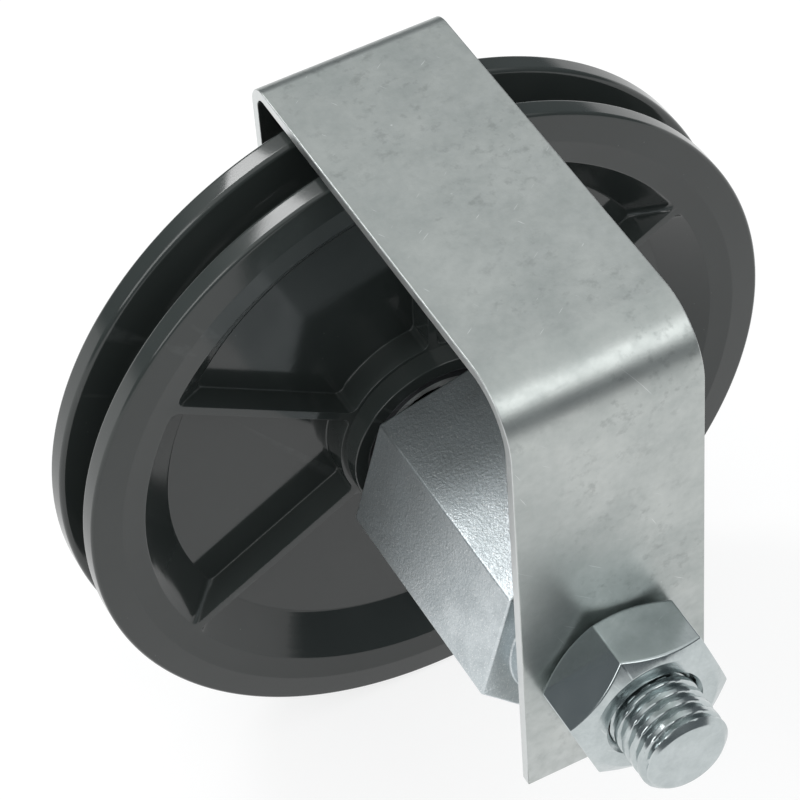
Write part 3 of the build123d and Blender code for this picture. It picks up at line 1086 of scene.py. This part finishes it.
    def hub_profile(self) -> list[Point2]:
        """Return the hub's outline from the near face, through the bore, to the far face."""
        return round_path(
            [
                (self.hub_r, -self.rim_half, 0.0),
                (self.hub_r, self.hub_near, self.near_edge_round),
                (self.bearing_r, self.hub_near, self.bore_edge_round),
                (self.bearing_r, self.clip_seat_near, 0.0),
                (self.clip_seat_r, self.clip_seat_near, 0.0),
                (self.clip_seat_r, -self.bearing_end, 0.0),
                (self.bearing_r, -self.bearing_end, 0.0),
                (self.bearing_r, self.bearing_end, 0.0),
                (self.lip_r, self.bearing_end, 0.0),
                (self.lip_r, self.hub_far, self.lip_edge_round),
                (self.hub_r, self.hub_far, self.far_edge_round),
                (self.hub_r, self.rim_half, 0.0),
            ]
        )

    def build(self, shop: Workshop) -> None:
        """Build the wheel and fit it in place of its node."""
        draft = Draft()
        columns = 2 * self.rib_count * (self.steps["rim_corner"] + self.steps["rim_arc"])
        angles = [self.middle(0) + i * 2 * pi / columns for i in range(columns)]
        draft.lathe(self.rim_profile(), angles)
        draft.lathe(self.hub_profile(), angles)
        levels = self.pocket_levels()
        for side in (-1.0, 1.0):
            for sector in range(self.rib_count):
                rings = [self.loop(draft, self.half_cell(), side * self.rim_half, sector)]
                rings += [self.loop(draft, half, side * depth, sector) for depth, half in levels]
                draft.strip(rings)
                draft.cap(rings[-1])
        wheel = draft.shape("moulded_wheel", self.sharp_deg)
        shop.fit(wheel, Body.WHEEL, Slot.WHEEL_PLASTIC, "rope_wheel")


@dataclass
class Axle:
    """Hexagon bar with a bolt hole in its inner end, a turned collar and a threaded stud."""

    section: Hexagon = Hexagon(across_flats=27.0, turn=-43.1, corner=0.45)
    thread: Thread = Thread()
    inner_end: float = -12.5
    outer_end: float = -45.5
    edge: float = 0.35
    collar_r: float = 11.0
    collar_end: float = -50.0
    thread_start: float = -50.4
    stud_tip: float = -68.6
    tip_face_r: float = 4.75
    bolt_hole_r: float = 4.0
    bolt_hole_end: float = -30.5
    sink: float = 0.4
    point_r_share: float = 0.1
    point_depth_share: float = 0.5
    end_margin: float = 1.0
    collar_margin: float = 0.8
    collar_round: float = 0.3
    collar_end_round: float = 0.25
    foot_round: float = 0.2
    foot_step: float = 0.02
    run_out: float = 0.9
    tip_ease: float = 0.12
    tip_slope: float = 1.15
    tip_rows: tuple[Point2, ...] = ((0.08, 0.03), (-0.1, 0.0), (-0.6, 0.0))
    edge_steps: int = 3
    bar_steps: int = 6
    sharp_deg: float = 38.0

    def hexagon_ring(self, inset: float, along: float) -> list[Point3]:
        """Return a ring of the bar, drawn in by an inset."""
        return [polar(self.section.radius(a) - inset, a, along) for a in self.section.angles()]

    def stud_ring(self, along: float) -> list[Point3]:
        """Return a ring of the stud with its thread, run out at the start and bevelled at the tip."""
        limit = self.tip_face_r + self.tip_ease + (along - self.stud_tip) * self.tip_slope
        run_out = min(max((self.thread_start - along) / self.run_out, 0.0), 1.0)
        ring = []
        for angle in self.section.angles():
            full = self.thread.radius(angle, along)
            cut_r = full + (self.thread.crest_r - full) * (1 - run_out)
            ring.append(polar(min(cut_r, limit), angle, along))
        return ring

    def rows(self) -> list[list[Point3]]:
        """Return all rings of the axle from the bottom of its bolt hole to the stud's tip."""
        angles = self.section.angles()

        def round_ring(radius: float, along: float) -> list[Point3]:
            """Return a plain circle."""
            return [polar(radius, a, along) for a in angles]

        rows = [
            round_ring(
                self.bolt_hole_r * self.point_r_share,
                self.bolt_hole_end - self.bolt_hole_r * self.point_depth_share,
            ),
            round_ring(self.bolt_hole_r, self.bolt_hole_end),
            round_ring(self.bolt_hole_r, self.inner_end - self.sink),
            round_ring(self.bolt_hole_r + self.sink, self.inner_end),
            round_ring(self.section.across_flats / 2 - self.end_margin, self.inner_end),
        ]
        for angle in spread(0.0, pi / 2, self.edge_steps):
            along = self.inner_end - self.edge * (1 - cos(angle))
            rows.append(self.hexagon_ring(self.edge * (1 - sin(angle)), along))
        for along in spread(self.inner_end - self.edge, self.outer_end + self.edge, self.bar_steps)[1:-1]:
            rows.append(self.hexagon_ring(0.0, along))
        for angle in spread(pi / 2, 0.0, self.edge_steps):
            along = self.outer_end + self.edge * (1 - cos(angle))
            rows.append(self.hexagon_ring(self.edge * (1 - sin(angle)), along))
        collar = round_path(
            [
                (self.section.across_flats / 2 - self.collar_margin, self.outer_end, 0.0),
                (self.collar_r, self.outer_end, self.collar_round),
                (self.collar_r, self.collar_end, self.collar_end_round),
                (self.thread.crest_r + self.foot_step, self.collar_end, self.foot_round),
                (self.thread.crest_r, self.thread_start, 0.0),
            ]
        )
        rows += [round_ring(radius, along) for radius, along in collar]
        turns = (self.thread_start - self.stud_tip) / self.thread.pitch
        count = round(turns * self.thread.rows_per_turn)
        for along in spread(self.thread_start, self.stud_tip + self.tip_ease, count)[1:]:
            rows.append(self.stud_ring(along))
        for grown, back in self.tip_rows:
            rows.append(round_ring(self.tip_face_r + grown, self.stud_tip + back))
        return rows

    def build(self, shop: Workshop) -> None:
        """Build the axle and fit it in place of its node."""
        draft = Draft()
        rings = [draft.ring(row) for row in self.rows()]
        draft.strip(rings)
        draft.cap(rings[0])
        draft.cap(rings[-1])
        axle = draft.shape("threaded_axle", self.sharp_deg)
        shop.fit(axle, Body.FRAME, Slot.ZINC_BAR, "hexagon_axle")
        axle.data.materials.append(shop.material(Slot.ZINC_FASTENER))
        for face in axle.data.polygons:
            if face.center.y < self.collar_end * MM:
                face.material_index = 1


@dataclass
class StudNut:
    """Hexagon nut on the stud, with bevelled corners and a cut thread."""

    section: Hexagon = Hexagon(across_flats=19.0, turn=-19.9, corner=0.3)
    thread: Thread = Thread()
    front: float = -60.9
    back: float = -51.5
    sink_r: float = 6.6
    sink_edge: float = 0.15
    play: float = 0.1
    bevel: Bevel = Bevel(face_r=8.6, soft=0.12)
    sharp_deg: float = 38.0

    def bore_rings(self, draft: Draft) -> list[list[int]]:
        """Add the rings of the bore, from back to front."""
        count = round((self.back - self.front) / self.thread.pitch * self.thread.rows_per_turn)
        rings = []
        for along in spread(self.back, self.front, count):
            open_r = self.sink_r - min(self.back - along, along - self.front)
            row = []
            for angle in self.section.angles():
                radius = max(self.thread.radius(angle, along) + self.play, open_r)
                row.append(polar(radius, angle, along))
            rings.append(draft.ring(row))
        return rings

    def end_rings(self, draft: Draft, face: float, side: float) -> list[list[int]]:
        """Add the rings of one end, from its countersink over the bevel to the flats.

        Args:
            draft: The mesh that takes the rings.
            face: The end face's place along the axis.
            side: 1 where the nut lies towards +Y of the face, and -1 where it lies the other way.

        Returns:
            The rings from the face outwards.
        """
        angles = self.section.angles()
        inner = [polar(self.sink_r + self.sink_edge, a, face) for a in angles]
        return [draft.ring(row) for row in [inner] + self.bevel.rows(self.section, angles, face, side)]

    def build(self, shop: Workshop) -> None:
        """Build the nut and fit it in place of its node."""
        draft = Draft()
        bore = self.bore_rings(draft)
        front = self.end_rings(draft, self.front, 1.0)
        back = self.end_rings(draft, self.back, -1.0)
        draft.strip(bore + front + back[::-1] + [bore[0]])
        nut = draft.shape("hexagon_nut", self.sharp_deg)
        shop.fit(nut, Body.FRAME, Slot.ZINC_FASTENER, "stud_nut")


@dataclass
class AxleBolt:
    """Hexagon bolt that holds the far leg, the bearings and the axle together."""

    section: Hexagon = Hexagon(across_flats=13.0, turn=0.0, corner=0.25)
    seat: float = 13.7
    head_top: float = 19.0
    crown: Bevel = Bevel(face_r=5.95, soft=0.1, ease_out=0.12)
    crown_margin: float = 1.2
    shank_r: float = 3.98
    tip: float = -26.3
    tip_bevel: float = 1.0
    tip_round: float = 0.2
    seat_margin: float = 0.3
    seat_rows: tuple[Point2, ...] = ((0.1, 0.0), (0.03, 0.04), (0.0, 0.12))
    flat_steps: int = 12
    corner_steps: int = 5
    sharp_deg: float = 38.0

    def build(self, shop: Workshop) -> None:
        """Build the bolt and fit it in place of its node."""
        draft = Draft()
        angles = self.section.angles(self.flat_steps, self.corner_steps)
        body = round_path(
            [
                (self.shank_r - self.tip_bevel, self.tip, 0.0),
                (self.shank_r, self.tip + self.tip_bevel, self.tip_round),
                (self.shank_r, self.seat, 0.0),
                (self.section.across_flats / 2 - self.seat_margin, self.seat, 0.0),
            ]
        )
        rows = [[polar(radius, a, along) for a in angles] for radius, along in body]
        for inset, rise in self.seat_rows:
            rows.append([polar(self.section.radius(a) - inset, a, self.seat + rise) for a in angles])
        rows += reversed(self.crown.rows(self.section, angles, self.head_top, -1.0))
        rows.append([polar(self.crown.face_r - self.crown_margin, a, self.head_top) for a in angles])
        rings = [draft.ring(row) for row in rows]
        draft.strip(rings)
        draft.cap(rings[0])
        draft.cap(rings[-1])
        bolt = draft.shape("hexagon_bolt", self.sharp_deg)
        shop.fit(bolt, Body.FRAME, Slot.ZINC_FASTENER, "axle_bolt")


@dataclass
class GuardStrap:
    """Strip of sheet folded over the wheel, sheared at its edges."""

    width: float = 25.0
    thickness: float = 1.5
    near_out: float = -51.5
    far_out: float = 12.1
    top: float = 50.7
    bottom: float = -16.5
    near_bend: float = 8.5
    far_bend: float = 3.5
    edge: float = 0.16
    stud_hole_r: float = 6.5
    bolt_hole_r: float = 4.3
    hole_past: float = 1.0
    sharp_deg: float = 50.0
    steps: dict[str, int] = field(
        default_factory=lambda: {
            "near_leg": 10,
            "near_bend": 28,
            "cross_piece": 10,
            "far_bend": 20,
            "far_leg": 12,
            "edge": 4,
            "hole": 64,
        }
    )

    def stations(self) -> list[tuple[Point2, Point2]]:
        """Return the places along the strip, from the near leg's end to the far leg's.

        Returns:
            Each place as (y, z), with its outward direction.
        """
        near_y = self.near_out + self.near_bend
        far_y = self.far_out - self.far_bend
        half = self.thickness / 2
        line: list[tuple[Point2, Point2]] = []

        def bend(centre_y: float, radius: float, start: float, end: float, steps: int) -> None:
            """Add a rounded corner to the line."""
            reach = radius - half
            for angle in spread(start, end, steps):
                out = (cos(angle), sin(angle))
                place = (centre_y + reach * out[0], self.top - radius + reach * out[1])
                line.append((place, out))

        for z in spread(self.bottom, self.top - self.near_bend, self.steps["near_leg"])[:-1]:
            line.append(((self.near_out + half, z), (-1.0, 0.0)))
        bend(near_y, self.near_bend, pi, pi / 2, self.steps["near_bend"])
        for y in spread(near_y, far_y, self.steps["cross_piece"])[1:-1]:
            line.append(((y, self.top - half), (0.0, 1.0)))
        bend(far_y, self.far_bend, pi / 2, 0.0, self.steps["far_bend"])
        for z in spread(self.top - self.far_bend, self.bottom, self.steps["far_leg"])[1:]:
            line.append(((self.far_out - half, z), (1.0, 0.0)))
        return line

    def section(self, inset: float) -> list[Point2]:
        """Return the strip's cross-section as (across, through), drawn in by an inset."""
        half_w = self.width / 2 - inset
        half_t = self.thickness / 2 - inset
        points: list[Point2] = []
        for sign_x, sign_t, start in ((1, 1, 0.0), (-1, 1, pi / 2), (-1, -1, pi), (1, -1, 1.5 * pi)):
            centre = (sign_x * (half_w - self.edge), sign_t * (half_t - self.edge))
            for angle in spread(start, start + pi / 2, self.steps["edge"]):
                points.append((centre[0] + self.edge * cos(angle), centre[1] + self.edge * sin(angle)))
        return points

    def ring(
        self, draft: Draft, station: tuple[Point2, Point2], inset: float = 0.0, push: float = 0.0
    ) -> list[int]:
        """Add the strip's section at one station.

        Args:
            draft: The mesh that takes the ring.
            station: A place on the line and its outward direction.
            inset: How far the section is drawn in.
            push: How far the ring is moved down, at a leg's end.

        Returns:
            The ring's point numbers.
        """
        (y, z), (out_y, out_z) = station
        return draft.ring([(x, y + t * out_y, z + t * out_z - push) for x, t in self.section(inset)])

    def hole(self, radius: float, low: float, high: float) -> bpy.types.Object:
        """Return the body that cuts a round hole through a leg."""
        draft = Draft()
        angles = spread(0.0, 2 * pi, self.steps["hole"])[:-1]
        rings = draft.lathe([(radius, low), (radius, high)], angles)
        draft.cap(rings[0])
        draft.cap(rings[-1])
        return draft.shape("hole")

    def build(self, shop: Workshop) -> None:
        """Build the strap and fit it in place of its node."""
        draft = Draft()
        line = self.stations()
        first, last = line[0], line[-1]
        soft_first = self.ring(draft, first, inset=self.edge)
        soft_last = self.ring(draft, last, inset=self.edge)
        rings = [soft_first, self.ring(draft, first, push=-self.edge)]
        rings += [self.ring(draft, station) for station in line[1:-1]]
        rings += [self.ring(draft, last, push=-self.edge), soft_last]
        draft.strip(rings)
        draft.cap(soft_first)
        draft.cap(soft_last)
        strap = draft.shape("folded_strap", self.sharp_deg)
        strap.modifiers.clear()
        near_in = self.near_out + self.thickness
        far_in = self.far_out - self.thickness
        cut(strap, self.hole(self.stud_hole_r, self.near_out - self.hole_past, near_in + self.hole_past))
        cut(strap, self.hole(self.bolt_hole_r, far_in - self.hole_past, self.far_out + self.hole_past))
        soften(strap, self.sharp_deg)
        shop.fit(strap, Body.FRAME, Slot.ZINC_SHEET, "guard_strap")


@dataclass
class Bearings:
    """The two shielded ball bearings and the small turned pieces beside them, which keep their solids."""

    steel: tuple[str, ...] = ("outer_ring", "inner_ring", "balls")
    pressed: tuple[str, ...] = ("cage", "near_shield", "far_shield")

    def build(self, shop: Workshop) -> None:
        """Finish every solid that keeps its own mesh."""
        for bearing in ("near_bearing", "far_bearing"):
            for piece in self.steel:
                shop.dress_node(f"{bearing}_{piece}", Slot.BEARING_STEEL)
            for piece in self.pressed:
                shop.dress_node(f"{bearing}_{piece}", Slot.SHIELD_STEEL)
        shop.dress_node("retaining_ring", Slot.SPRING_STEEL)
        shop.dress_node("bolt_washer", Slot.ZINC_FASTENER)
        shop.dress_node("near_spacer", Slot.ZINC_BAR)
        shop.dress_node("far_spacer", Slot.ZINC_BAR)


@dataclass(frozen=True)
class Softbox:
    """Flat lamp aimed at the pulley, placed by its direction from it, with its lengths in metres."""

    name: str
    direction: Point3
    distance: float
    size: Point2
    watts: float
    colour: Colour = WHITE

    def place(self) -> None:
        """Add the lamp."""
        lamp = bpy.data.lights.new(self.name, "AREA")
        lamp.shape = "RECTANGLE"
        lamp.size, lamp.size_y = self.size
        lamp.energy = self.watts
        lamp.color = self.colour
        holder = bpy.data.objects.new(self.name, lamp)
        towards = Vector(self.direction).normalized()
        holder.location = towards * self.distance
        holder.rotation_euler = towards.to_track_quat("Z", "Y").to_euler()
        holder.visible_camera = False
        bpy.context.scene.collection.objects.link(holder)


@dataclass(frozen=True)
class Viewpoint:
    """Camera where the photograph was taken from, in metres."""

    location: Point3 = (-0.13839, -0.29867, 0.35389)
    forward: Point3 = (0.28245, 0.61784, -0.73382)
    right: Point3 = (0.88058, -0.47045, -0.05716)
    lens: float = 169.37
    sensor: float = 36.0

    def place(self) -> None:
        """Add the camera and make it the scene's own."""
        data = bpy.data.cameras.new("photo_view")
        data.lens = self.lens
        data.sensor_width = self.sensor
        camera = bpy.data.objects.new("photo_view", data)
        forward = Vector(self.forward).normalized()
        up = Vector(self.right).cross(forward).normalized()
        right = forward.cross(up)
        turn = Matrix((right, up, -forward)).transposed()
        camera.matrix_world = Matrix.Translation(self.location) @ turn.to_4x4()
        bpy.context.scene.collection.objects.link(camera)
        bpy.context.scene.camera = camera


@dataclass
class Studio:
    """Pale floor, soft lamps and the light of the room, with lengths in metres."""

    floor_z: float = -0.0485
    floor_half: float = 3.0
    shown: float = 0.8
    floor_colour: Colour = (0.25, 0.25, 0.25)
    horizon: Colour = (0.14, 0.155, 0.165)
    ceiling: Colour = (0.90, 0.92, 0.92)
    below: Colour = (0.95, 0.95, 0.95)
    ground_band: Point2 = (-0.05, 0.05)
    ceiling_band: Point2 = (0.48, 0.68)
    lamps: tuple[Softbox, ...] = (
        Softbox("front_softbox", (0.28, -0.62, 0.70), distance=0.9, size=(0.5, 0.36), watts=0.9),
        Softbox("left_softbox", (-0.85, -0.15, 0.60), distance=0.9, size=(0.5, 0.5), watts=2.0),
        Softbox("back_softbox", (-0.30, 0.57, 0.77), distance=0.9, size=(0.24, 0.24), watts=1.7),
    )

    def seen(self, graph: Graph) -> Socket:
        """Return 1 for the rays that show the floor, straight or mirrored, and 0 for the others."""
        path = graph.add("LightPath").outputs
        mirrored = graph.calc("MAXIMUM", path["Is Glossy Ray"], path["Is Transmission Ray"])
        return graph.calc("MAXIMUM", path["Is Camera Ray"], mirrored)

    def floor(self) -> None:
        """Add the floor, which glows pale to the camera and in mirrors and takes the pulley's shadow."""
        draft = Draft()
        half = self.floor_half / MM
        level = self.floor_z / MM
        corners = [(-half, -half, level), (half, -half, level), (half, half, level), (-half, half, level)]
        draft.cap(draft.ring(corners))
        floor = draft.shape("floor")
        floor.modifiers.clear()
        material = bpy.data.materials.new("pale_floor")
        material.use_nodes = True
        material.node_tree.nodes.clear()
        graph = Graph(material.node_tree)
        strength = graph.calc("MULTIPLY", self.seen(graph), self.shown)
        glow = graph.add("Emission", {"Strength": strength})
        matt = graph.add("BsdfDiffuse", {"Color": self.floor_colour})
        both = graph.add("AddShader", {0: glow.outputs[0], 1: matt.outputs[0]})
        graph.add("OutputMaterial", {"Surface": both.outputs[0]})
        floor.data.materials.append(material)

    def room(self) -> None:
        """Set the light of the room, which changes with height, and show white to the camera."""
        world = bpy.data.worlds.new("studio_room")
        bpy.context.scene.world = world
        world.use_nodes = True
        world.node_tree.nodes.clear()
        graph = Graph(world.node_tree)
        height = graph.add("SeparateXYZ", {0: graph.add("TexCoord").outputs["Generated"]}).outputs[2]
        over = graph.span(height, self.ceiling_band[0], self.ceiling_band[1])
        above = graph.span(height, self.ground_band[0], self.ground_band[1])
        light = graph.blend(above, self.below, graph.blend(over, self.horizon, self.ceiling))
        shown = graph.blend(graph.add("LightPath").outputs["Is Camera Ray"], light, WHITE)
        sky = graph.add("Background", {"Color": shown, "Strength": 1.0})
        graph.add("OutputWorld", {"Surface": sky.outputs[0]})

    def build(self) -> None:
        """Set up the floor, the room, the lamps and the camera."""
        bpy.context.scene.view_settings.view_transform = "Standard"
        self.floor()
        self.room()
        for lamp in self.lamps:
            lamp.place()
        Viewpoint().place()
        LOG.info("studio: floor, room light and %d lamps", len(self.lamps))


def main() -> None:
    """Build the pulley's pieces in order and set up the studio."""
    logging.basicConfig(level=logging.INFO, format="%(name)s: %(message)s")
    shop = Workshop()
    for assembly in (Wheel(), Axle(), GuardStrap(), StudNut(), AxleBolt(), Bearings()):
        assembly.build(shop)
    Studio().build()


if __name__ == "__main__":
    main()
